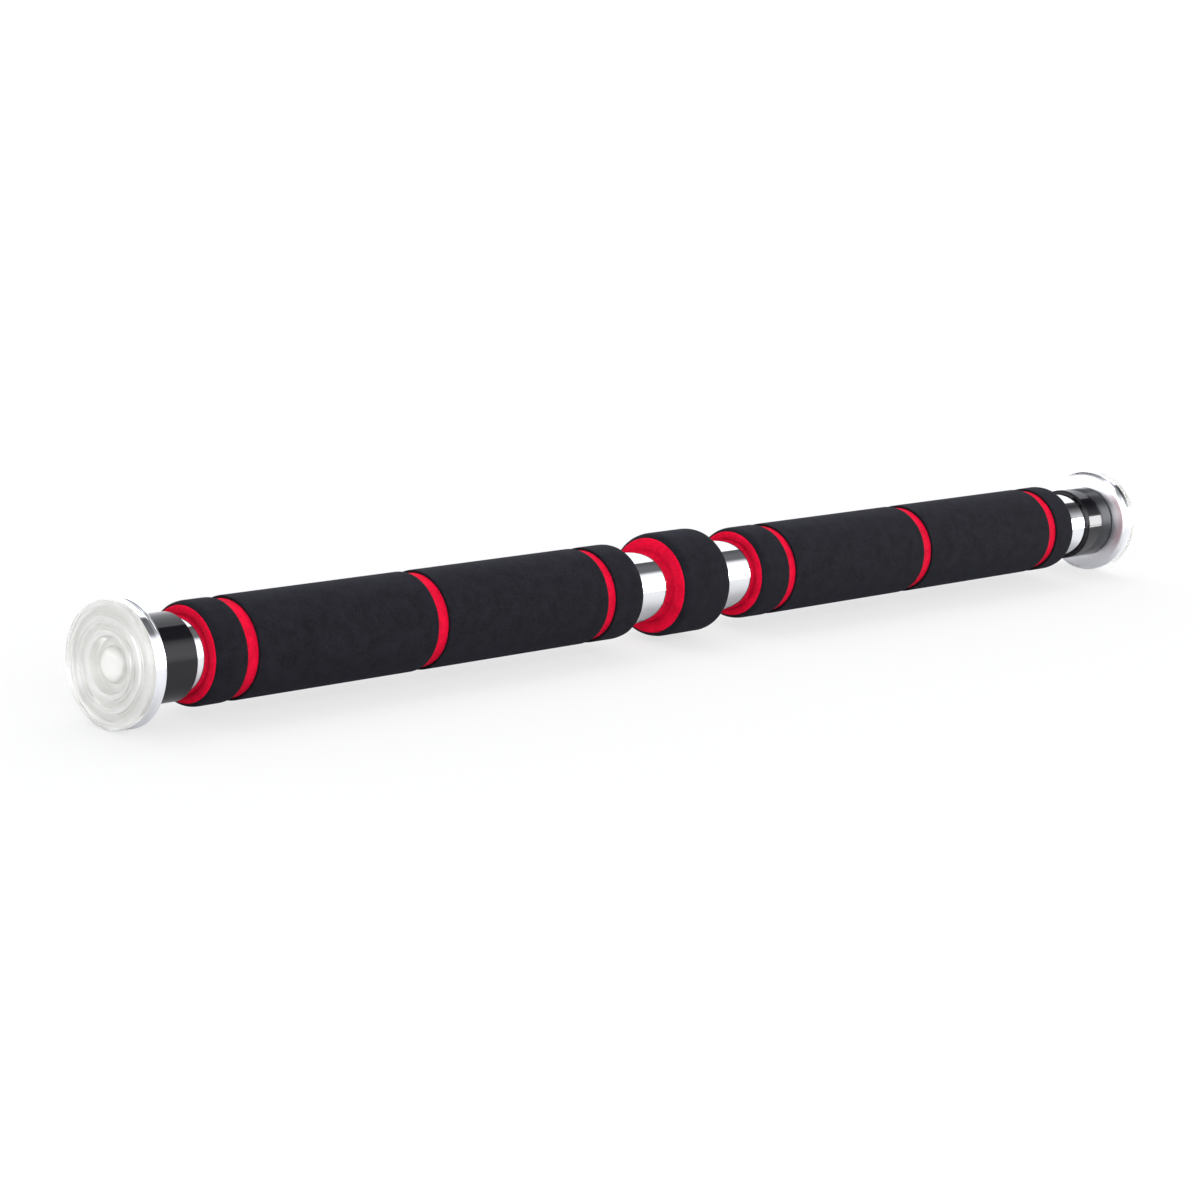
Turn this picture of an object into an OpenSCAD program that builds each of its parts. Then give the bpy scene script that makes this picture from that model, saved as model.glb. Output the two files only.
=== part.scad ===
// Doorway pull up bar. A chrome tube with two foam grips and a foam centre ring
// carries a threaded extension at each end, one right-handed and one left-handed.
// Turning the extensions out presses the two end pads against the door jambs.
//
// The bar lies along X with its middle at the origin, and +Z is up. Each half is
// drawn towards +X, and left() mirrors it. Profiles are [radius, distance along X].

/* [Main tube] */
// Outside diameter of the main tube
tube_od = 32; // [30:0.5:34]
// Wall thickness of the main tube
tube_wall = 1.5; // [1.2:0.1:1.8]
// Distance from the middle of the bar to each end of the main tube
tube_half = 320; // [316:1:321]

/* [Foam] */
// Outside diameter of the grips
grip_od = 42; // [41:0.5:46]
// Outside diameter of the centre ring
ring_od = 46.6; // [42:0.1:50]
// Thickness of the outer foam layer, over the coloured inner one
skin_thickness = 1.5; // [1:0.1:2]
// How far the grips and the ring sit from the middle of the bar
foam_shift = -5.4; // [-6:0.1:6]
// Distance from the foam's middle to the inner edge of a grip's outer layer
grip_inner = 41.3; // [36:0.1:44]
// Distance from the foam's middle to the outer edge of a grip's outer layer
grip_outer = 290.7; // [286:0.1:293.5]
// Distances from the foam's middle to the grooves, from the middle outwards
groove_places = [62.4, 166.5, 272.1];
// Widths of the same grooves
groove_widths = [5.6, 6.6, 6.4];
// How far the inner layer stands out of each end of a grip
grip_proud = 0.5; // [0.2:0.1:2]
// Length of the centre ring's outer layer
ring_length = 30.6; // [24:0.2:36]
// How far the inner layer stands out of each end of the ring
ring_proud = 0.7; // [0.2:0.1:2]
// Chamfer around each edge of the outer layer
skin_chamfer = 0.4; // [0.2:0.1:0.8]
// Chamfer around each end of the inner layer
core_chamfer = 0.6; // [0.2:0.1:1.5]

/* [End collars] */
// Outside diameter of the end collars
collar_od = 35.4; // [34:0.1:36]
// Distance from the middle of the bar to a collar's inner edge
collar_inner = 303.5; // [302:0.5:306]
// Distance from the middle of the bar to a collar's outer face
collar_outer = 324.1; // [323.5:0.1:324.1]

/* [Extension screws] */
// Diameter over the thread of an extension screw
screw_od = 24; // [23:0.5:25]
// Wall thickness of an extension screw under its thread
screw_wall = 1.8; // [1.5:0.1:2.2]
// How far each extension screws out
travel = 165; // [100:5:165]
// Length of the nut that is fixed in each end of the main tube
nut_length = 30; // [20:1:32]
// Length of the bush that guides the inner end of a screw
bush_length = 20; // [12:1:24]
// Diameter of the journal that the guide bush turns on
journal_d = 14; // [12:0.5:16]

/* [End pads] */
// Outside diameter of the end flanges
flange_od = 51; // [50:0.5:56]
// Length of a flange's rim
rim_length = 5.8; // [5.2:0.1:8]
// Outside diameter of the soft end pads
pad_od = 50.4; // [49:0.1:50.8]
// How far a pad stands out of its flange
pad_proud = 3; // [2.5:0.1:4]
// Diameter of the round hollow in the middle of a pad
hollow_d = 22.6; // [20:0.1:24]
// Depth of the round hollow
hollow_depth = 4; // [3.5:0.1:4]

/* [Hidden] */
$fn = 96;

tube_r = tube_od / 2;
tube_bore_r = tube_r - tube_wall;
grip_r = grip_od / 2;
ring_r = ring_od / 2;
screw_r = screw_od / 2;
screw_bore_r = screw_r - screw_wall;

// Fits and gaps
nut_clearance = 0.05;       // round the screw, all along the nut
bush_clearance = 0.1;       // round the guide bush, in the main tube
journal_clearance = 0.05;   // round the journal, in the bush
collar_clearance = 0.4;     // round the screw, in the collar's end wall
pin_gap = 0.8;              // between the nut pins and the screw's thread
end_play = 0.3;             // at each end of the guide bush, and at the end stop
hub_gap = 0.5;              // between collar and flange when screwed fully in

// M6 fastener sizes
m6_r = 3;
m6_clearance_r = 3.2;
m6_hex = 10;
m6_hex_height = 4;
pan_head_r = 5.2;
pan_head_height = 2.8;
washer_r = 10;
washer_thickness = 1.6;

// Along the bar, from the pad's face inwards
hub_back = collar_outer + hub_gap;
rim_back = hub_back + 0.8;
rim_front = rim_back + rim_length;
pad_front = rim_front + pad_proud;
spigot_depth = 2;
spigot_r = 22;
hollow_floor = pad_front - hollow_depth;
web_front = rim_front - spigot_depth;
head_front = web_front + pan_head_height;
socket_depth = 1.5;
screw_outer = hub_back + socket_depth;
plug_length = 20;
nut_outer = tube_half - 2;
nut_inner = nut_outer - nut_length;
bush_outer = nut_inner - travel - end_play;
bush_inner = bush_outer - bush_length;
shoulder_length = 2;
shoulder_inner = bush_outer + end_play;
screw_inner = shoulder_inner + shoulder_length;
journal_end = bush_inner - end_play;
pin_r = 1.5;
pin_count = 3;
pin_place = (nut_outer + collar_inner) / 2;

// Turns a shape that is drawn along Z so that it lies along X.
module along_x() rotate([0, 90, 0]) children();

// Moves a shape that is drawn along X outwards from the middle of the bar.
module at(x) translate([x, 0, 0]) children();

module right() children();
module left() mirror([1, 0, 0]) children();

// A solid of revolution about X, from [radius, distance along X] points.
module turned(profile) along_x() rotate_extrude() polygon(profile);

// A plain round bar, or a tube where bore_r is above zero.
module round_bar(from, to, r, bore_r = 0)
    along_x() difference() {
        translate([0, 0, from]) cylinder(r = r, h = to - from);
        if (bore_r > 0) translate([0, 0, from - 1]) cylinder(r = bore_r, h = to - from + 2);
    }

// Radial holes or pins between two radii, spaced evenly round the bar.
module radial_pins(r_from, r_to)
    for (turn = [0 : pin_count - 1])
        rotate([360 * turn / pin_count, 0, 0])
            translate([pin_place, 0, r_from]) cylinder(r = pin_r, h = r_to - r_from, $fn = 32);

// A foam sleeve with chamfered outer edges.
module foam_sleeve(from, to, inner_r, outer_r, chamfer)
    turned([
        [inner_r, from],
        [outer_r - chamfer, from],
        [outer_r, from + chamfer],
        [outer_r, to - chamfer],
        [outer_r - chamfer, to],
        [inner_r, to]
    ]);

// An inner foam layer, on the tube and inside the outer layer that ends at outer_r.
module foam_core(from, to, outer_r)
    color("crimson") foam_sleeve(from, to, tube_r, outer_r - skin_thickness, core_chamfer);

// An outer foam layer.
module foam_skin(from, to, outer_r)
    color("#1c1c1f") foam_sleeve(from, to, outer_r - skin_thickness, outer_r, skin_chamfer);

// Drawn steel tube, chrome plated, cross-drilled at each end for the nut pins.
module main_tube()
    color("silver") difference() {
        round_bar(-tube_half, tube_half, tube_r, tube_bore_r);
        right() radial_pins(tube_bore_r - 1, tube_r + 1);
        left() radial_pins(tube_bore_r - 1, tube_r + 1);
    }

// Inner foam layer of a grip, which shows in the grooves and at both ends.
module grip_core() foam_core(grip_inner - grip_proud, grip_outer + grip_proud, grip_r);

// Outer foam layer of a grip, cut right through by the grooves into four sleeves.
module grip_skin() {
    starts = concat([grip_inner], groove_places + groove_widths / 2);
    ends = concat(groove_places - groove_widths / 2, [grip_outer]);
    for (i = [0 : len(starts) - 1]) foam_skin(starts[i], ends[i], grip_r);
}

// The centre ring, which has the same two layers and is thicker than the grips.
module ring_core()
    foam_core(-ring_length / 2 - ring_proud, ring_length / 2 + ring_proud, ring_r);

module ring_skin() foam_skin(-ring_length / 2, ring_length / 2, ring_r);

// Moulded collar pushed over the tube's end. Its end wall clears the screw.
module collar() {
    edge = 0.6;
    color("#101012")
        turned([
            [tube_r, collar_inner],
            [collar_od / 2 - edge, collar_inner],
            [collar_od / 2, collar_inner + edge],
            [collar_od / 2, collar_outer - edge],
            [collar_od / 2 - edge, collar_outer],
            [screw_r + collar_clearance, collar_outer],
            [screw_r + collar_clearance, tube_half],
            [tube_r, tube_half]
        ]);
}

// Steel nut in the tube's end, drilled for its pins. The thread is drawn plain.
module nut()
    color("darkgray") difference() {
        round_bar(nut_inner, nut_outer, tube_bore_r, screw_r + nut_clearance);
        radial_pins(screw_r - 1, tube_bore_r + 1);
    }

// Drive pins through tube and nut, ending short of the screw, under the collar.
module nut_pins()
    color("gray") intersection() {
        radial_pins(screw_r, tube_r + 1);
        round_bar(nut_inner, nut_outer, tube_r, screw_r + pin_gap);
    }

// Extension screw: a steel tube with a rolled thread, drawn plain over the thread.
module screw()
    color("silver") round_bar(screw_inner, screw_outer, screw_r, screw_bore_r);

// Steel plug welded into the screw's outer end and tapped for the flange bolt.
module screw_plug()
    color("gray") round_bar(screw_outer - plug_length, screw_outer, screw_bore_r, m6_r);

// Chrome plated end flange: a beaded rim, a conical back, and a seat for the pad's spigot.
module flange() {
    rim_r = flange_od / 2;
    bead = 0.35;
    bead_width = 1.8;
    edge = 0.8;
    hub_r = collar_od / 2 + 1.2;
    color("silver")
        turned([
            [m6_clearance_r, screw_outer],
            [screw_r + nut_clearance, screw_outer],
            [screw_r + nut_clearance, hub_back],
            [hub_r, hub_back],
            [rim_r - edge, rim_back],
            [rim_r, rim_back + edge],
            [rim_r, rim_back + bead_width],
            [rim_r - bead, rim_back + bead_width + bead],
            [rim_r - bead, rim_front],
            [spigot_r + 0.05, rim_front],
            [spigot_r + 0.05, web_front],
            [m6_clearance_r, web_front]
        ]);
}

// Clear soft pad with two ring grooves round a central hollow. A nub in the hollow
// covers the head of the flange bolt, which sits in a pocket in the pad's back.
module pad() {
    edge = 1;
    taper = 0.9;
    hollow_r = hollow_d / 2;
    pocket_r = pan_head_r + 0.3;
    nub_r = 7.2;
    nub_front = hollow_floor + 3.2;
    ring_grooves = [[21.6, 18.8], [16.2, 13.4]]; // outer and inner radius of each
    groove_depth = 0.8;
    groove_slope = 0.4;
    color("#e8ece6", 0.6)
        turned([
            [0, head_front + 0.2],
            [pocket_r, head_front + 0.2],
            [pocket_r, web_front],
            [spigot_r, web_front],
            [spigot_r, rim_front],
            [pad_od / 2, rim_front],
            [pad_od / 2, pad_front - edge],
            [pad_od / 2 - edge, pad_front],
            for (ring = ring_grooves)
                each [
                    [ring[0], pad_front],
                    [ring[0] - groove_slope, pad_front - groove_depth],
                    [ring[1] + groove_slope, pad_front - groove_depth],
                    [ring[1], pad_front]
                ],
            [hollow_r, pad_front],
            [hollow_r - taper, hollow_floor],
            [nub_r, hollow_floor],
            [nub_r - 0.6, hollow_floor + 1.8],
            [nub_r - 1.8, nub_front - 0.4],
            [nub_r - 3.4, nub_front],
            [0, nub_front]
        ]);
}

// Cross-recessed pan head bolt that holds the flange to the screw's plug.
module flange_bolt() {
    recess_depth = 1.5;
    slot = [recess_depth + 1, 1.2, 5.6];
    color("gainsboro") difference() {
        turned([
            [0, screw_outer - plug_length + 3],
            [m6_r, screw_outer - plug_length + 3],
            [m6_r, web_front],
            [pan_head_r, web_front],
            [pan_head_r, head_front - 1],
            [pan_head_r - 1, head_front - 0.25],
            [pan_head_r - 2.4, head_front],
            [0, head_front]
        ]);
        for (turn = [0, 90])
            rotate([turn, 0, 0])
                translate([head_front - recess_depth + slot[0] / 2, 0, 0]) cube(slot, center = true);
    }
}

// Turned plug pressed into the screw's inner end, with a journal for the bush.
module journal() {
    plug_depth = 18;
    tapped_depth = 16;
    color("gray") difference() {
        turned([
            [0, journal_end],
            [journal_d / 2, journal_end],
            [journal_d / 2, shoulder_inner],
            [screw_r, shoulder_inner],
            [screw_r, screw_inner],
            [screw_bore_r, screw_inner],
            [screw_bore_r, screw_inner + plug_depth],
            [0, screw_inner + plug_depth]
        ]);
        round_bar(journal_end - 1, journal_end + tapped_depth, m6_r);
    }
}

// Nylon bush that slides in the tube without turning. It meets the nut at full reach.
module guide_bush()
    color("ivory")
        round_bar(bush_inner, bush_outer, tube_bore_r - bush_clearance,
                  journal_d / 2 + journal_clearance);

module stop_washer()
    color("silver")
        round_bar(journal_end - washer_thickness, journal_end, washer_r, m6_clearance_r);

// Hex bolt that holds washer and bush on the journal.
module stop_bolt() {
    head_from = journal_end - washer_thickness;
    shank_length = 15;
    color("gray") along_x() {
        translate([0, 0, head_from - m6_hex_height])
            cylinder(d = m6_hex / cos(30), h = m6_hex_height, $fn = 6);
        translate([0, 0, head_from - 1]) cylinder(r = m6_r, h = shank_length + 1);
    }
}

main_tube();
at(foam_shift) left() grip_core();  // left_grip_core
at(foam_shift) left() grip_skin();  // left_grip_skin
at(foam_shift) right() grip_core();  // right_grip_core
at(foam_shift) right() grip_skin();  // right_grip_skin
at(foam_shift) ring_core();
at(foam_shift) ring_skin();
left() collar();  // left_collar
right() collar();  // right_collar
left() nut();  // left_nut
right() nut();  // right_nut
left() nut_pins();  // left_nut_pins
right() nut_pins();  // right_nut_pins
left() screw();  // left_screw
right() screw();  // right_screw
left() screw_plug();  // left_screw_plug
right() screw_plug();  // right_screw_plug
left() flange();  // left_flange
right() flange();  // right_flange
left() pad();  // left_pad
right() pad();  // right_pad
left() flange_bolt();  // left_flange_bolt
right() flange_bolt();  // right_flange_bolt
left() journal();  // left_journal
right() journal();  // right_journal
left() guide_bush();  // left_guide_bush
right() guide_bush();  // right_guide_bush
left() stop_washer();  // left_stop_washer
right() stop_washer();  // right_stop_washer
left() stop_bolt();  // left_stop_bolt
right() stop_bolt();  // right_stop_bolt
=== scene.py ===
import math

import bmesh
import bpy
from mathutils import Matrix, Vector, noise


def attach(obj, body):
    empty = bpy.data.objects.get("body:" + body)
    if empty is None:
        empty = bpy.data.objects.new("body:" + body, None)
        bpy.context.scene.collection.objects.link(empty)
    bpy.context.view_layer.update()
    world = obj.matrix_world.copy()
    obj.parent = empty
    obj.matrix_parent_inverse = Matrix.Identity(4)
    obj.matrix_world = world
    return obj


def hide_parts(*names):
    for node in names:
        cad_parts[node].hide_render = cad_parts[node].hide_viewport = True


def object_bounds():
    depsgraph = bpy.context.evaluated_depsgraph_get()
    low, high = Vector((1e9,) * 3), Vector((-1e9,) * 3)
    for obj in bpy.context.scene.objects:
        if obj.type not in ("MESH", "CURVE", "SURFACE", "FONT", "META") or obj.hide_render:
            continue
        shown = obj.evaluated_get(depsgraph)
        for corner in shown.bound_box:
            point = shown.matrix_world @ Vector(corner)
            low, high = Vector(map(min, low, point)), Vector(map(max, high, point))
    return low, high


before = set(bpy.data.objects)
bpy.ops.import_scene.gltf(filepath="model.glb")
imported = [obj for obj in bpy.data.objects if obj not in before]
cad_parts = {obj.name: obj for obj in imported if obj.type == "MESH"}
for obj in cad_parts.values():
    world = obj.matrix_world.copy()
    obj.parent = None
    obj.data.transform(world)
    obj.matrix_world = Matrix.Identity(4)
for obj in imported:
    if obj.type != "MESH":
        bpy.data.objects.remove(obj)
cad_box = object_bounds()
scene = bpy.context.scene
mm = 0.001


# ---------------------------------------------------------------- studio
# A white table under one broad lamp. It also glows a little to the camera, so that the bar
# leaves only a faint shadow. The room is white, with a dark ceiling strip along the bar, and a
# window stands to the right in front.

def linear(hex_colour):
    """An sRGB hex colour as the linear colour that a shader takes."""
    channels = [int(hex_colour[i:i + 2], 16) / 255 for i in (1, 3, 5)]
    return [c / 12.92 if c <= 0.04045 else ((c + 0.055) / 1.055) ** 2.4 for c in channels] + [1]


def add_node(owner, kind, sockets=None, **settings):
    """Adds a shader node. Each socket gets a value, or is linked to another node's output."""
    node = owner.node_tree.nodes.new(kind)
    for name, value in settings.items():
        setattr(node, name, value)
    for name, value in (sockets or {}).items():
        if isinstance(value, bpy.types.NodeSocket):
            owner.node_tree.links.new(value, node.inputs[name])
        else:
            node.inputs[name].default_value = value
    return node


def new_material(name, **sockets):
    """A material with its surface shader's own sockets set, such as Base_Color."""
    material = bpy.data.materials.new(name)
    material.use_nodes = True
    shader = material.node_tree.nodes["Principled BSDF"]
    for socket, value in sockets.items():
        shader.inputs[socket.replace("_", " ")].default_value = value
    return material, shader


def studio_card(name, material, middle, size, facing):
    """A flat card in the studio, turned to face along the given direction."""
    bm = bmesh.new()
    bmesh.ops.create_grid(bm, x_segments=1, y_segments=1, size=0.5)
    bmesh.ops.scale(bm, verts=bm.verts, vec=(size[0], size[1], 1))
    turn = Vector(facing).to_track_quat("Z", "Y").to_matrix()
    bmesh.ops.rotate(bm, verts=bm.verts, cent=(0, 0, 0), matrix=turn)
    bmesh.ops.translate(bm, verts=bm.verts, vec=middle)
    mesh = bpy.data.meshes.new(name)
    bm.to_mesh(mesh)
    bm.free()
    mesh.materials.append(material)
    card = bpy.data.objects.new(name, mesh)
    scene.collection.objects.link(card)
    return card


camera_data = bpy.data.cameras.new("camera")
camera_data.lens = 103.2
camera_data.sensor_width = 36
camera_data.clip_end = 200
camera = bpy.data.objects.new("camera", camera_data)
scene.collection.objects.link(camera)
camera_place = Vector((-1.172, -0.975, 0.3174))
camera_aim = Vector((-0.0246, 0.0245, -0.0115))
camera_roll = math.radians(5.07)
camera.matrix_world = (
    Matrix.Translation(camera_place)
    @ (camera_aim - camera_place).to_track_quat("-Z", "Y").to_matrix().to_4x4()
    @ Matrix.Rotation(camera_roll, 4, "Z")
)
scene.camera = camera
scene.view_settings.view_transform = "Standard"

# White acrylic light table. Only the camera sees it glow: it lights the bar as matt white does.
light_table, shader = new_material("white_light_table", Base_Color=linear("#cccccc"), Roughness=1)
shader.inputs["Specular IOR Level"].default_value = 0
glow = add_node(
    light_table, "ShaderNodeEmission", {"Color": linear("#ffffff"), "Strength": 0.67}).outputs[0]
card_white = add_node(light_table, "ShaderNodeBsdfDiffuse", {"Color": linear("#7c7c7c")}).outputs[0]
glowing = add_node(light_table, "ShaderNodeAddShader", {0: glow, 1: card_white}).outputs[0]
seen = add_node(light_table, "ShaderNodeLightPath").outputs["Is Camera Ray"]
mixed = add_node(
    light_table, "ShaderNodeMixShader", {0: seen, 1: shader.outputs[0], 2: glowing}).outputs[0]
surface = light_table.node_tree.nodes["Material Output"].inputs["Surface"]
light_table.node_tree.links.new(mixed, surface)
studio_card("floor", light_table, (0, 0, cad_box[0].z), (120, 120), (0, 0, 1))

lamp_data = bpy.data.lights.new("overhead_lamp", "SUN")
lamp_data.angle = math.radians(95)
lamp_data.energy = 2.2
lamp = bpy.data.objects.new("overhead_lamp", lamp_data)
lamp.rotation_euler = Vector((0.6, 0.45, 1)).to_track_quat("Z", "Y").to_euler()
lamp.visible_glossy = False
scene.collection.objects.link(lamp)

# The window shows only in glossy surfaces, with its reflection in the table's far end below it.
window_light, shader = new_material(
    "window_light", Base_Color=linear("#000000"), Emission_Strength=14)
shader.inputs["Emission Color"].default_value = linear("#ffffff")
window = studio_card("window", window_light, (2.16, -1.21, 0.31), (1.0, 0.66), (-2.16, 1.21, 0))
table_gleam = studio_card(
    "table_gleam", window_light, (0.93, -0.42, -0.024), (0.9, 0.34), (0, 0, 1))
for card in (window, table_gleam):
    card.visible_camera = False
    card.visible_diffuse = False
    card.visible_shadow = False

# The room's brightness goes by the angle round the bar, from the floor behind it, over the
# ceiling, to the floor in front. Metal that lies along the bar shows it as long stripes. The
# far end of the room, which the bar's right end reflects, has a darker front wall. The wall to
# the left, which the bar's left end and the right flange's back face, is nearly three times as
# bright, with a dark corner behind it.
room = bpy.data.worlds.new("white_room")
room.use_nodes = True
scene.world = room
room.node_tree.nodes.clear()
direction = add_node(room, "ShaderNodeTexCoord").outputs["Generated"]
parts = add_node(room, "ShaderNodeSeparateXYZ", {"Vector": direction}).outputs
angle = add_node(
    room, "ShaderNodeMath", {0: parts["Z"], 1: parts["Y"]}, operation="ARCTAN2").outputs[0]
share = add_node(
    room, "ShaderNodeMapRange", {"Value": angle, "From Min": 0, "From Max": math.pi}).outputs[0]
middle_stripes = [
    (0, 1.3), (76, 1.3), (79, 1.8), (83, 0.1), (92, 0.12), (100, 0.16), (117, 0.17), (121, 0.3),
    (126, 0.9), (131, 1.3), (140, 1.9), (165, 2.1), (175, 1.6), (180, 1.2),
]
right_stripes = [
    (0, 1.3), (76, 1.3), (79, 1.6), (83, 0.1), (99, 0.04), (108, 0.07), (123, 0.22),
    (138, 0.5), (146, 0.6), (153, 1.1), (161, 1.6), (172, 1.0), (180, 1.0),
]
ramps = []
for stripes in (middle_stripes, right_stripes):
    ramp = add_node(room, "ShaderNodeValToRGB", {"Fac": share})
    ramp.color_ramp.elements.remove(ramp.color_ramp.elements[1])
    for number, (degrees, level) in enumerate(stripes):
        stops = ramp.color_ramp.elements
        stop = stops[0] if number == 0 else stops.new(degrees / 180)
        stop.position = degrees / 180
        stop.color = (level * 0.97, level * 0.98, level * 1.02, 1)
    ramps.append(ramp.outputs["Color"])
rightward = add_node(
    room, "ShaderNodeMapRange", {"Value": parts["X"], "From Min": 0.76, "From Max": 0.82})
walls = add_node(
    room, "ShaderNodeMix",
    {"Factor": rightward.outputs[0], "A": ramps[0], "B": ramps[1]}, data_type="RGBA")
left_wall_level = 2.7
corner_dimming = -2.6
left_wall = add_node(
    room, "ShaderNodeMapRange",
    {"Value": parts["X"], "From Min": -0.65, "From Max": -0.15,
     "To Min": left_wall_level, "To Max": 1}).outputs[0]
for axis, bright_at, dark_at in (("X", -0.3, -0.55), ("Y", 0.05, 0.3), ("Z", 0.12, 0.32)):
    inside = add_node(
        room, "ShaderNodeMapRange",
        {"Value": parts[axis], "From Min": bright_at, "From Max": dark_at}).outputs[0]
    dark_corner = inside if axis == "X" else add_node(
        room, "ShaderNodeMath", {0: dark_corner, 1: inside}, operation="MULTIPLY").outputs[0]
strength = add_node(
    room, "ShaderNodeMath",
    {0: dark_corner, 1: corner_dimming, 2: left_wall}, operation="MULTIPLY_ADD").outputs[0]
background = add_node(
    room, "ShaderNodeBackground",
    {"Color": walls.outputs["Result"], "Strength": strength}).outputs[0]
backdrop = add_node(room, "ShaderNodeBackground", {"Color": linear("#fefefe")}).outputs[0]
seen = add_node(room, "ShaderNodeLightPath").outputs["Is Camera Ray"]
mixed = add_node(room, "ShaderNodeMixShader", {0: seen, 1: background, 2: backdrop}).outputs[0]
add_node(room, "ShaderNodeOutputWorld", {"Surface": mixed})


# ---------------------------------------------------------------- main tube
# Drawn steel tube of 32 mm outside, polished and chrome plated. It shows bare between the
# foam grips. Both ends are faced off and lightly deburred.

def turned(name, outline, steps=128, cuts=0):
    """A piece turned about X. The outline's points are (x, radius, rounding), in millimetres,
    and cuts divides its longest line."""
    bm = bmesh.new()
    corners = [bm.verts.new((x * mm, 0, radius * mm)) for x, radius, rounding in outline]
    closed = outline[0][1] > 0
    for a, b in zip(corners, corners[1:] + (corners[:1] if closed else [])):
        bm.edges.new((a, b))
    for corner, (x, radius, rounding) in zip(corners, outline):
        if rounding:
            bmesh.ops.bevel(
                bm, geom=[corner], offset=rounding * mm, offset_type="OFFSET", segments=5,
                profile=0.5, affect="VERTICES", material=-1)
    if cuts:
        outer_line = max(
            bm.edges, key=lambda edge: (round(edge.calc_length(), 4), edge.verts[0].co.z))
        bmesh.ops.subdivide_edges(bm, edges=[outer_line], cuts=cuts)
    bmesh.ops.spin(
        bm, geom=bm.verts[:] + bm.edges[:], cent=(0, 0, 0), axis=(1, 0, 0), angle=2 * math.pi,
        steps=steps, use_merge=True)
    bmesh.ops.remove_doubles(bm, verts=bm.verts, dist=1e-7)
    bmesh.ops.recalc_face_normals(bm, faces=bm.faces)
    return finished(name, bm)


def finished(name, bm):
    """Makes a smooth-shaded object of a bmesh, with flat faces kept flat beside roundings."""
    for face in bm.faces:
        face.smooth = True
    mesh = bpy.data.meshes.new(name)
    bm.to_mesh(mesh)
    bm.free()
    piece = bpy.data.objects.new(name, mesh)
    scene.collection.objects.link(piece)
    weighted = piece.modifiers.new("weighted_normals", "WEIGHTED_NORMAL")
    weighted.keep_sharp = True
    return piece


def place(piece, material, body, slot, *nodes):
    """Gives a piece its material, the body that it moves with and the CAD nodes it stands for."""
    piece.data.materials.append(material)
    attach(piece, body)
    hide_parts(*nodes)


# Polished chrome plate: a clear mirror, with the faint lines that the polishing belt leaves
# round the tube. Real ones are under 0.05 mm apart; here they are drawn about 0.5 mm apart.
chrome, shader = new_material("polished_chrome_plate", Base_Color=linear("#eff0f2"), Metallic=1)
position = add_node(chrome, "ShaderNodeTexCoord").outputs["Object"]
along = add_node(
    chrome, "ShaderNodeMapping", {"Vector": position, "Scale": (1, 0.02, 0.02)}).outputs[0]
belt_lines = add_node(
    chrome, "ShaderNodeTexNoise",
    {"Vector": along, "Scale": 2000, "Detail": 3, "Roughness": 0.6}).outputs[0]
haze = add_node(
    chrome, "ShaderNodeTexNoise",
    {"Vector": position, "Scale": 90, "Detail": 4, "Roughness": 0.6}).outputs[0]
lines_and_haze = add_node(
    chrome, "ShaderNodeMath", {0: belt_lines, 1: haze}, operation="MULTIPLY").outputs[0]
sheen = add_node(
    chrome, "ShaderNodeMapRange",
    {"Value": lines_and_haze, "From Min": 0.1, "From Max": 0.45, "To Min": 0.03,
    "To Max": 0.11}).outputs[0]
chrome.node_tree.links.new(sheen, shader.inputs["Roughness"])
relief = add_node(
    chrome, "ShaderNodeBump",
    {"Height": belt_lines, "Strength": 0.12, "Distance": 0.00002}).outputs[0]
chrome.node_tree.links.new(relief, shader.inputs["Normal"])

tube_r = 16
tube_bore_r = 14.5
tube_half = 320
main_tube = turned("chrome_main_tube", [
    (-tube_half, tube_bore_r, 0.3), (-tube_half, tube_r, 0.3),
    (tube_half, tube_r, 0.3), (tube_half, tube_bore_r, 0.3)])
place(main_tube, chrome, "bar", "chrome_tube", "main_tube")


# ---------------------------------------------------------------- foam grips
# Each grip is a sleeve of soft nitrile foam in two layers, red inside and black outside. The
# black layer is cut through in rings down to the red, and it wraps over the red at both ends.

# Extruded nitrile foam: dead matt, with a slight grey bloom on its skin and closed pores. The
# real pores are about 0.2 mm across; here they are drawn 0.7 mm across so that they show.
black_foam, shader = new_material(
    "black_nitrile_foam", Roughness=0.88, Sheen_Weight=0.02, Sheen_Roughness=0.5)
red_foam, red_shader = new_material("red_nitrile_foam", Roughness=0.85)
shader.inputs["Sheen Tint"].default_value = linear("#b9bce0")
foam_colours = (
    (black_foam, shader, "#0d0d11", "#1a1a1f"), (red_foam, red_shader, "#a80022", "#d0042e"))
for foam, foam_shader, dark, light in foam_colours:
    foam_shader.inputs["Specular IOR Level"].default_value = 0.08
    position = add_node(foam, "ShaderNodeTexCoord").outputs["Object"]
    # The colour is darker in the pores: painted shade in their hollows, over the foam's own random
    # mottling.
    pores = add_node(
        foam, "ShaderNodeTexVoronoi", {"Vector": position, "Scale": 1400}).outputs["Distance"]
    mottle = add_node(
        foam, "ShaderNodeTexNoise",
        {"Vector": position, "Scale": 160, "Detail": 6, "Roughness": 0.7}).outputs[0]
    tone = add_node(
        foam, "ShaderNodeMath", {0: pores, 1: 0.35, 2: mottle}, operation="MULTIPLY_ADD").outputs[0]
    shade = add_node(
        foam, "ShaderNodeMapRange", {"Value": tone, "From Min": 0.42, "From Max": 0.85}).outputs[0]
    mixed = add_node(
        foam, "ShaderNodeMix",
        {"Factor": shade, "A": linear(dark), "B": linear(light)}, data_type="RGBA")
    foam.node_tree.links.new(mixed.outputs["Result"], foam_shader.inputs["Base Color"])
    relief = add_node(
        foam, "ShaderNodeBump", {"Height": tone, "Strength": 0.5, "Distance": 0.00015}).outputs[0]
    foam.node_tree.links.new(relief, foam_shader.inputs["Normal"])

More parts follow.
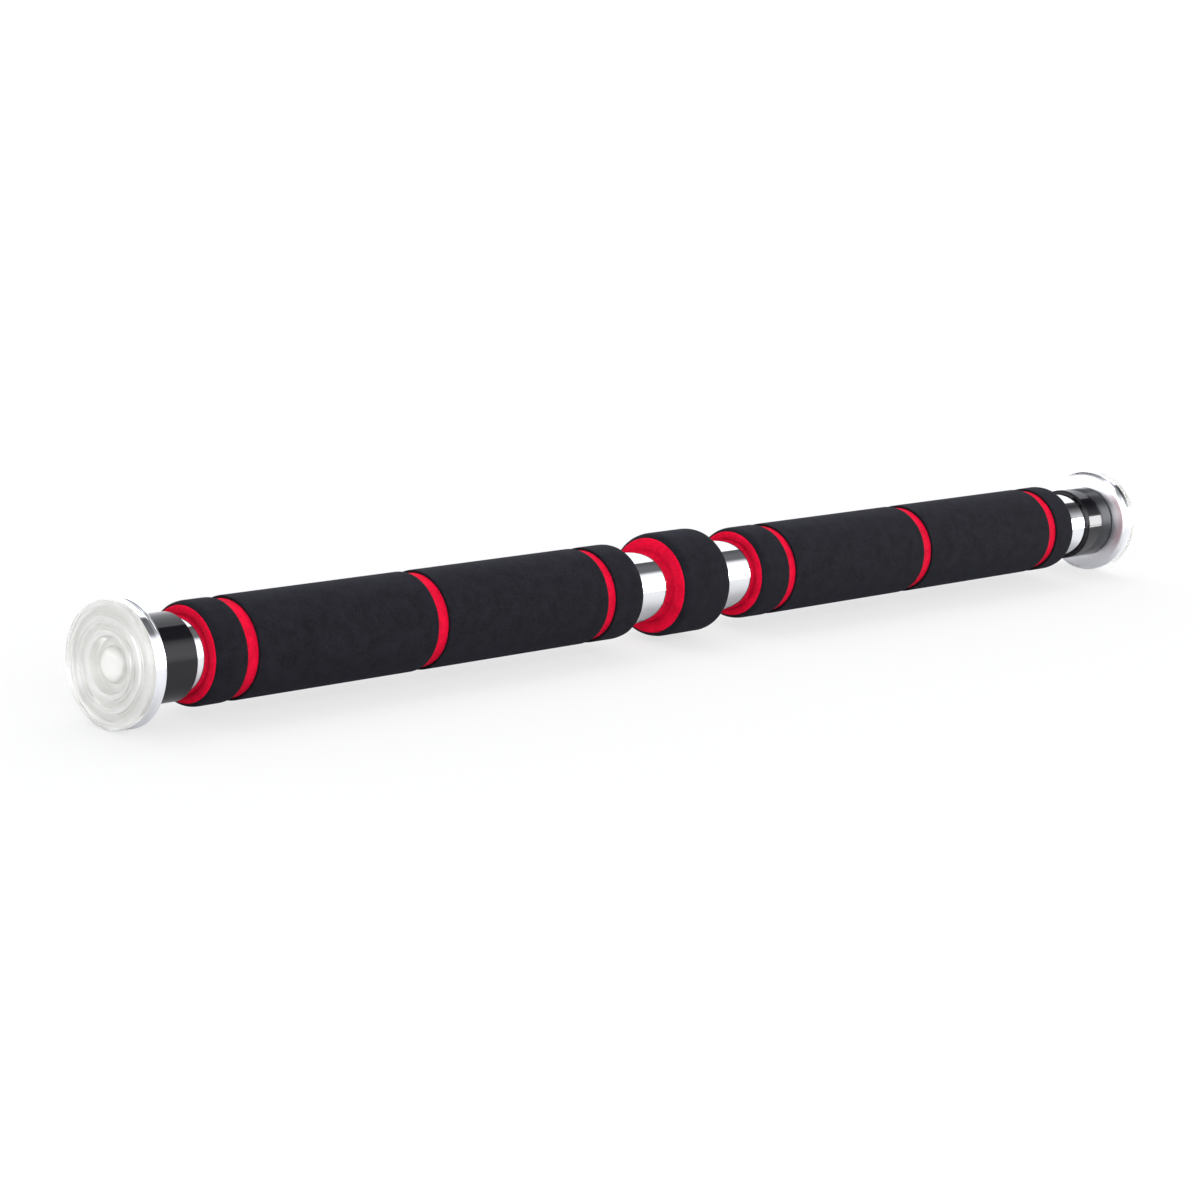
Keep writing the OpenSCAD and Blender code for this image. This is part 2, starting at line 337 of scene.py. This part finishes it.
foam_shift = -5.4
grip_r = 21
grip_core_r = 19.8
grip_core_end_r = 19.4
grip_inner = 41.3
grip_outer = 290.7
grip_proud = 0.5
groove_places = [62.4, 166.5, 272.1]
groove_widths = [5.6, 6.6, 6.4]
wrap = 3.0


def soften(bm):
    """Gives foam the slight waviness that it has from being moulded and pulled over the tube."""
    for vert in bm.verts:
        around = Vector((0, vert.co.y, vert.co.z))
        if around.length > 19 * mm:
            slow = noise.noise(vert.co * 45) * 0.1 * mm
            quick = noise.noise(vert.co * 260) * 0.05 * mm
            vert.co += around.normalized() * (slow + quick)


def foam_core(name, start, end, end_r, middle_r):
    """The inner layer, from start to end along the bar, drawn in a little at both ends."""
    core = turned(name, [
        (start, tube_r + 0.05, 0), (start, end_r, 0.9), (start + wrap, middle_r, 0.8),
        (end - wrap, middle_r, 0.8), (end, end_r, 0.9), (end, tube_r + 0.05, 0)],
        cuts=max(8, round((end - start) / 3)))
    bm = bmesh.new()
    bm.from_mesh(core.data)
    soften(bm)
    bm.to_mesh(core.data)
    bm.free()
    return core


def foam_skin(name, sleeves, end_r, inner_r, outer_r):
    """The outer layer, as one object of separate sleeves. Each is (start, end, start wraps over
    the inner layer, end wraps over it). An edge that doesn't wrap is cut square."""
    bm = bmesh.new()
    for start, end, start_wraps, end_wraps in sleeves:
        outside = []
        inside = []
        for edge, inward, wraps in ((start, 1, start_wraps), (end, -1, end_wraps)):
            if wraps:
                line = [
                    (edge, end_r + 0.45, 0.3),
                    (edge + 0.9 * inward, (end_r + outer_r) / 2 + 0.35, 0.7),
                    (edge + wrap * inward, outer_r, 1.2)]
                seat = [(edge, end_r, 0), (edge + wrap * inward, inner_r, 0)]
            else:
                line = [(edge, outer_r - 0.15, 0.1), (edge + 0.8 * inward, outer_r, 0.4)]
                seat = [(edge, inner_r, 0)]
            outside += line[::inward]
            inside = seat[::-inward] + inside if inward < 0 else seat[::-1]
        sleeve = turned(name, outside + inside, cuts=max(6, round((end - start) / 2)))
        bm.from_mesh(sleeve.data)
        bpy.data.objects.remove(sleeve)
    soften(bm)
    return finished(name, bm)


for side, sign in (("left", -1), ("right", 1)):
    edges = [grip_inner]
    for middle, width in zip(groove_places, groove_widths):
        edges += [middle - width / 2, middle + width / 2]
    edges.append(grip_outer)
    sleeves = []
    for number in range(0, len(edges), 2):
        start, end = edges[number:number + 2]
        wraps = [edge in (grip_inner, grip_outer) for edge in (start, end)]
        if sign < 0:
            start, end, wraps = -end, -start, wraps[::-1]
        sleeves.append((start + foam_shift, end + foam_shift, *wraps))
    ends = sorted([sign * (grip_inner - grip_proud), sign * (grip_outer + grip_proud)])
    core = foam_core(
        side + "_grip_red_foam", ends[0] + foam_shift, ends[1] + foam_shift, grip_core_end_r,
        grip_core_r)
    place(core, red_foam, "bar", "foam_red", side + "_grip_core")
    skin = foam_skin(
        side + "_grip_black_foam", sleeves, grip_core_end_r, grip_core_r - 0.05, grip_r)
    place(skin, black_foam, "bar", "foam_black", side + "_grip_skin")


# ---------------------------------------------------------------- centre ring
# A short foam ring in the middle of the bar, thicker than the grips, which keeps the hands
# apart. It has the same two layers, and its black layer wraps over the red one at both ends.

ring_r = 23.3
ring_core_r = 21.8
ring_core_end_r = 21.3
ring_half = 15.3
ring_proud = 0.7
ring_core = foam_core(
    "ring_red_foam", foam_shift - ring_half - ring_proud, foam_shift + ring_half + ring_proud,
    ring_core_end_r, ring_core_r)
place(ring_core, red_foam, "bar", "foam_red", "ring_core")
ring_skin = foam_skin(
    "ring_black_foam", [(foam_shift - ring_half, foam_shift + ring_half, True, True)],
    ring_core_end_r, ring_core_r - 0.05, ring_r)
place(ring_skin, black_foam, "bar", "foam_black", "ring_skin")


# ---------------------------------------------------------------- end collars
# Glossy black moulded collars pushed over the tube's ends, where they hide the pinned nuts.

# Injection moulded ABS from a polished mould: deep black gloss over a faint orange peel, about
# 3 mm from crest to crest, with a few finer scuffs that dull it slightly.
black_plastic, shader = new_material("glossy_black_abs", Base_Color=linear("#0b0b0f"), IOR=1.5)
shader.inputs["Specular IOR Level"].default_value = 0.36
position = add_node(black_plastic, "ShaderNodeTexCoord").outputs["Object"]
peel = add_node(
    black_plastic, "ShaderNodeTexNoise", {"Vector": position, "Scale": 330, "Detail": 2}).outputs[0]
scuffs = add_node(
    black_plastic, "ShaderNodeTexNoise",
    {"Vector": position, "Scale": 1200, "Detail": 5}).outputs[0]
dulled = add_node(
    black_plastic, "ShaderNodeMapRange", {"Value": scuffs, "From Min": 0.35, "From Max": 0.75,
                                          "To Min": 0.06, "To Max": 0.14}).outputs[0]
black_plastic.node_tree.links.new(dulled, shader.inputs["Roughness"])
relief = add_node(
    black_plastic, "ShaderNodeBump",
    {"Height": peel, "Strength": 0.1, "Distance": 0.00005}).outputs[0]
black_plastic.node_tree.links.new(relief, shader.inputs["Normal"])

collar_r = 17.7
collar_hole_r = 12.4
collar_inner = 303.5
collar_outer = 324.1
collar_outline = [
    (collar_inner, tube_r, 0), (collar_inner, collar_r, 0.7), (collar_outer, collar_r, 0.7),
    (collar_outer, collar_hole_r, 0.2), (tube_half, collar_hole_r, 0), (tube_half, tube_r, 0)]


def on_side(outline, sign):
    """An outline that is given for the bar's right end, for its right (1) or left (-1) end."""
    return [(sign * x, radius, rounding) for x, radius, rounding in outline]


for side, sign in (("left", -1), ("right", 1)):
    collar = turned(side + "_black_collar", on_side(collar_outline, sign))
    place(collar, black_plastic, "bar", "collar_black", side + "_collar")


# ---------------------------------------------------------------- nuts and pins
# A steel nut sits in each end of the tube and takes the extension screw. Three hardened pins
# hold it, driven through the tube under the collar. They keep their CAD shapes.

def steel_finish(material, shader, line_scale, smooth, rough):
    """Fine turning lines across the bar, in steel's roughness and relief."""
    position = add_node(material, "ShaderNodeTexCoord").outputs["Object"]
    along = add_node(
        material, "ShaderNodeMapping", {"Vector": position, "Scale": (1, 0.05, 0.05)}).outputs[0]
    lines = add_node(
        material, "ShaderNodeTexNoise",
        {"Vector": along, "Scale": line_scale, "Detail": 4}).outputs[0]
    rough_lines = add_node(
        material, "ShaderNodeMapRange", {"Value": lines, "From Min": 0.3, "From Max": 0.7,
                                         "To Min": smooth, "To Max": rough}).outputs[0]
    material.node_tree.links.new(rough_lines, shader.inputs["Roughness"])
    relief = add_node(
        material, "ShaderNodeBump",
        {"Height": lines, "Strength": 0.3, "Distance": 0.00003}).outputs[0]
    material.node_tree.links.new(relief, shader.inputs["Normal"])


def keep(material, *nodes):
    """Gives the CAD nodes that stay as they are a material."""
    for node in nodes:
        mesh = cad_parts[node].data
        mesh.materials.clear()
        mesh.materials.append(material)


# Free-cutting mild steel, turned and oiled: grey, with feed lines 0.3 mm apart.
turned_steel, shader = new_material("turned_mild_steel", Base_Color=linear("#8f9296"), Metallic=1)
steel_finish(turned_steel, shader, 3000, 0.22, 0.42)
keep(turned_steel, "left_nut", "right_nut", "left_nut_pins", "right_nut_pins")


# ---------------------------------------------------------------- extension screws
# Steel tubes with a coarse rolled thread, chrome plated, right-handed on the right end and
# left-handed on the left. A plug welded in each outer end takes the flange bolt.

screw_start = 125
screw_end = 326.1
screw_bore_r = 10.2
thread_lead = 6
thread_steps = 48
thread_profile = [(0, 11, 0.3), (1.6, 11, 0.3), (2.5, 11.97, 0.3), (5.1, 11.97, 0.3), (6, 11, 0)]


def close_end(bm, x):
    """Joins the thread's open edge to the bore's, on the plane at x."""
    rim = [
        edge for edge in bm.edges
        if edge.is_boundary and all(abs(vert.co.x - x) < 1e-6 for vert in edge.verts)]
    bmesh.ops.bridge_loops(bm, edges=rim)


def threaded_screw(name):
    """The right end's threaded tube: one turn of the thread, wound along a helix and repeated,
    then cut off square at both ends and closed to the bore."""
    bm = bmesh.new()
    first = screw_start - thread_lead - 1
    corners = [bm.verts.new(((first + x) * mm, 0, radius * mm)) for x, radius,
    rounding in thread_profile]
    for a, b in zip(corners, corners[1:]):
        bm.edges.new((a, b))
    for corner, (x, radius, rounding) in list(zip(corners, thread_profile))[1:-1]:
        bmesh.ops.bevel(
            bm, geom=[corner], offset=rounding * mm, offset_type="OFFSET", segments=3,
            profile=0.5, affect="VERTICES", material=-1)
    bmesh.ops.spin(
        bm, geom=bm.verts[:] + bm.edges[:], cent=(0, 0, 0), axis=(1, 0, 0), angle=2 * math.pi,
        dvec=(thread_lead / thread_steps * mm, 0, 0), steps=thread_steps)
    one_turn = bpy.data.meshes.new(name + "_turn")
    bm.to_mesh(one_turn)
    for turn in range(math.ceil((screw_end - first) / thread_lead)):
        one_turn.transform(Matrix.Translation((thread_lead * mm, 0, 0)))
        bm.from_mesh(one_turn)
    bpy.data.meshes.remove(one_turn)
    bmesh.ops.remove_doubles(bm, verts=bm.verts, dist=1e-6)
    for x, outward in ((screw_start, -1), (screw_end, 1)):
        bmesh.ops.bisect_plane(
            bm, geom=bm.verts[:] + bm.edges[:] + bm.faces[:], dist=1e-7, plane_co=(x * mm, 0, 0),
            plane_no=(outward, 0, 0), clear_outer=True)
    bore = [bm.verts.new((x * mm, 0, screw_bore_r * mm)) for x in (screw_start, screw_end)]
    line = bm.edges.new(bore)
    bmesh.ops.spin(
        bm, geom=bore + [line], cent=(0, 0, 0), axis=(1, 0, 0), angle=2 * math.pi,
        steps=thread_steps, use_merge=True)
    close_end(bm, screw_start * mm)
    close_end(bm, screw_end * mm)
    bmesh.ops.recalc_face_normals(bm, faces=bm.faces)
    return finished(name, bm)


def mirrored(piece, name):
    """The same piece for the other end of the bar, which makes a right-hand thread left-handed."""
    bm = bmesh.new()
    bm.from_mesh(piece.data)
    bmesh.ops.scale(bm, verts=bm.verts, vec=(-1, 1, 1))
    bmesh.ops.recalc_face_normals(bm, faces=bm.faces)
    return finished(name, bm)


def axis_distance(material):
    """The distance from the bar's axis, in metres, and the place along it, for a material."""
    position = add_node(material, "ShaderNodeTexCoord").outputs["Object"]
    split = add_node(material, "ShaderNodeSeparateXYZ", {"Vector": position}).outputs
    section = add_node(
        material, "ShaderNodeCombineXYZ", {"Y": split["Y"], "Z": split["Z"]}).outputs[0]
    distance = add_node(
        material, "ShaderNodeVectorMath", {0: section}, operation="LENGTH").outputs["Value"]
    return distance, split["X"]


# Rolled thread under a thinner plate: satin, and darker low down in the thread: painted shade.
thread_plate, shader = new_material("plated_rolled_thread", Metallic=1)
steel_finish(thread_plate, shader, 2200, 0.12, 0.3)
distance, along = axis_distance(thread_plate)
# Painted shade: the colour darkens towards the root of the thread.
depth = add_node(
    thread_plate, "ShaderNodeMapRange",
    {"Value": distance, "From Min": 0.0109, "From Max": 0.0117}).outputs[0]
painted_root_shade = add_node(
    thread_plate, "ShaderNodeMix",
    {"Factor": depth, "A": linear("#77787a"), "B": linear("#d2d4d8")}, data_type="RGBA")
thread_plate.node_tree.links.new(painted_root_shade.outputs["Result"], shader.inputs["Base Color"])

right_screw = threaded_screw("right_threaded_screw")
left_screw = mirrored(right_screw, "left_threaded_screw")
place(right_screw, thread_plate, "right_end", "chrome_screw", "right_screw")
place(left_screw, thread_plate, "left_end", "chrome_screw", "left_screw")
keep(turned_steel, "left_screw_plug", "right_screw_plug")


# ---------------------------------------------------------------- end flanges
# Turned steel flanges, chrome plated, with a conical back and a bead round the back edge of
# the rim. Each is bolted to the end of its screw, and seats the pad in its front.

# The same chrome over turned steel. The rim is polished, and the conical back keeps its fine
# turning lines, 0.4 mm apart here, which blur what it mirrors into soft rings of light.
turned_chrome, shader = new_material(
    "turned_chrome_plate", Base_Color=linear("#f6f7fa"), Metallic=1)
distance, along = axis_distance(turned_chrome)
polish = add_node(
    turned_chrome, "ShaderNodeMapRange",
    {"Value": distance, "From Min": 0.0244, "From Max": 0.0252,
     "To Min": 0.3, "To Max": 0.09}).outputs[0]
turned_chrome.node_tree.links.new(polish, shader.inputs["Roughness"])
feed = add_node(
    turned_chrome, "ShaderNodeMath", {0: distance, 1: along}, operation="ADD").outputs[0]
feed_lines = add_node(
    turned_chrome, "ShaderNodeTexNoise",
    {"W": feed, "Scale": 2500, "Detail": 2}, noise_dimensions="1D").outputs[0]
relief = add_node(
    turned_chrome, "ShaderNodeBump",
    {"Height": feed_lines, "Strength": 0.2, "Distance": 0.00002}).outputs[0]
turned_chrome.node_tree.links.new(relief, shader.inputs["Normal"])

flange_back = 324.6
flange_front = 331.15
flange_hole_r = 3.2
screw_seat_r = 12.05
rim_r = 25.12
pad_seat = 329.2
pad_seat_r = 22.1
flange_outline = [
    (screw_end, flange_hole_r, 0), (screw_end, screw_seat_r, 0), (flange_back, screw_seat_r, 0.2),
    (flange_back, 18.9, 1.5), (325.3, 23.9, 0.8), (325.8, 24.9, 0.1),
    (325.95, 24.75, 0.05), (326.25, 25.45, 0.15), (326.8, 25.45, 0.15),
    (327.05, 24.95, 0.08), (327.35, 24.95, 0.08), (327.6, 25.4, 0.1),
    (327.9, 25.4, 0.1), (328.1, rim_r, 0.06),
    (flange_front, rim_r, 0.3), (flange_front, pad_seat_r, 0.2), (pad_seat, pad_seat_r, 0.2),
    (pad_seat, flange_hole_r, 0)]
for side, sign in (("left", -1), ("right", 1)):
    flange = turned(side + "_chrome_flange", on_side(flange_outline, sign))
    place(flange, turned_chrome, side + "_end", "chrome_flange", side + "_flange")

# Bright zinc plate on the bolts and washers: a bluish white, slightly cloudy satin metal.
zinc_plate, shader = new_material("bright_zinc_plate", Base_Color=linear("#dde1e8"), Metallic=1)
steel_finish(zinc_plate, shader, 1500, 0.3, 0.5)
keep(zinc_plate, "left_flange_bolt", "right_flange_bolt")


# ---------------------------------------------------------------- end pads
# Soft vinyl discs that grip the door jamb, moulded in one piece with ring grooves, a round
# hollow and a nub in its middle that covers the bolt's head. They press into the flanges.

# Plasticised vinyl, moulded natural: milky and half clear, softly glossy, with slow clouding
# 8 mm across and the faint flow marks of the mould. Its colour is greyer low in the grooves and
# paler on the ridge tops: painted shade.
# It is whitest in the nub, where it is thickest, and clears towards the edge of the hollow.
milky_vinyl, shader = new_material("milky_soft_vinyl", IOR=1.5)
position = add_node(milky_vinyl, "ShaderNodeTexCoord").outputs["Object"]
clouds = add_node(
    milky_vinyl, "ShaderNodeTexNoise", {"Vector": position, "Scale": 120, "Detail": 4}).outputs[0]
distance, along = axis_distance(milky_vinyl)
clearness = add_node(
    milky_vinyl, "ShaderNodeMapRange",
    {"Value": distance, "From Min": 0.003, "From Max": 0.013, "To Min": 0.4, "To Max": 0.7},
    interpolation_type="SMOOTHSTEP").outputs[0]
milky_vinyl.node_tree.links.new(clearness, shader.inputs["Transmission Weight"])
height = add_node(milky_vinyl, "ShaderNodeMath", {0: along}, operation="ABSOLUTE").outputs[0]
# Painted shade: greyer low in the grooves, paler on the ridge tops.
groove_shade = add_node(
    milky_vinyl, "ShaderNodeMapRange",
    {"Value": height, "From Min": 0.3331, "From Max": 0.334,
     "To Min": -0.35, "To Max": 0.35}).outputs[0]
clear = add_node(
    milky_vinyl, "ShaderNodeMath", {0: clouds, 1: groove_shade}, operation="ADD", use_clamp=True).outputs[0]
clouded_and_shaded = add_node(
    milky_vinyl, "ShaderNodeMix", {"Factor": clear, "A": linear("#efeee8"), "B": linear("#fffffc")},
    data_type="RGBA")
milky_vinyl.node_tree.links.new(clouded_and_shaded.outputs["Result"], shader.inputs["Base Color"])
gloss = add_node(
    milky_vinyl, "ShaderNodeMapRange", {"Value": clouds, "To Min": 0.05, "To Max": 0.13}).outputs[0]
milky_vinyl.node_tree.links.new(gloss, shader.inputs["Roughness"])
flow = add_node(
    milky_vinyl, "ShaderNodeTexNoise", {"Vector": position, "Scale": 420, "Detail": 3}).outputs[0]
relief = add_node(
    milky_vinyl, "ShaderNodeBump",
    {"Height": flow, "Strength": 0.04, "Distance": 0.00005}).outputs[0]
milky_vinyl.node_tree.links.new(relief, shader.inputs["Normal"])

pad_front = 334.2
pad_back = 329.25
pad_r = 25.2
plug_r = 22
lip_back = 331.2
pocket_r = 5.5
pocket_end = 332.2
hollow_floor = 330.25
pad_outline = [
    (pocket_end, 0, 0), (pocket_end, pocket_r, 0.2), (pad_back, pocket_r, 0),
    (pad_back, plug_r, 0.2), (lip_back, plug_r, 0), (lip_back, pad_r, 0.4), (pad_front, pad_r, 0.8),
    (pad_front, 23.4, 0.15), (333.7, 23.1, 0.1), (333.7, 21.7, 0.1),
    (333.0, 21.3, 0.15), (333.0, 20.2, 0.1), (333.4, 19.9, 0.1), (333.4, 19.3, 0.1),
    (pad_front, 18.8, 0.15), (pad_front, 17.9, 0.15),
    (333.6, 17.5, 0.1), (333.6, 16.5, 0.1), (332.9, 16.1, 0.15), (332.9, 15.1, 0.1),
    (333.4, 14.8, 0.1), (333.4, 14.0, 0.1), (334.1, 13.5, 0.15), (334.1, 12.2, 0.15),
    (333.6, 11.5, 0.2), (hollow_floor, 10.4, 0.5), (hollow_floor, 7.4, 0.5),
    (332.2, 6.7, 0.6), (333.2, 4.8, 1.0), (333.4, 0, 0)]
for side, sign in (("left", -1), ("right", 1)):
    pad = turned(side + "_vinyl_pad", on_side(pad_outline, sign))
    place(pad, milky_vinyl, side + "_end", "clear_pad", side + "_pad")


# ---------------------------------------------------------------- end stops
# Inside the tube, each screw ends in a turned journal that runs in a nylon bush. A washer and
# a hexagon bolt hold the bush on, and it stops the screw at full reach. All keep CAD shapes.

keep(turned_steel, "left_journal", "right_journal")
keep(zinc_plate, "left_stop_washer", "right_stop_washer", "left_stop_bolt", "right_stop_bolt")

# Cast nylon: waxy off-white, with a faint cloudiness that also shows in its relief.
nylon, shader = new_material(
    "natural_cast_nylon", Roughness=0.42, Subsurface_Weight=0.2, Subsurface_Scale=0.003)
position = add_node(nylon, "ShaderNodeTexCoord").outputs["Object"]
clouds = add_node(
    nylon, "ShaderNodeTexNoise", {"Vector": position, "Scale": 150, "Detail": 3}).outputs[0]
waxy = add_node(
    nylon, "ShaderNodeMix",
    {"Factor": clouds, "A": linear("#dcd7c6"), "B": linear("#eeeadc")}, data_type="RGBA")
nylon.node_tree.links.new(waxy.outputs["Result"], shader.inputs["Base Color"])
relief = add_node(
    nylon, "ShaderNodeBump", {"Height": clouds, "Strength": 0.15, "Distance": 0.0001}).outputs[0]
nylon.node_tree.links.new(relief, shader.inputs["Normal"])
keep(nylon, "left_guide_bush", "right_guide_bush")
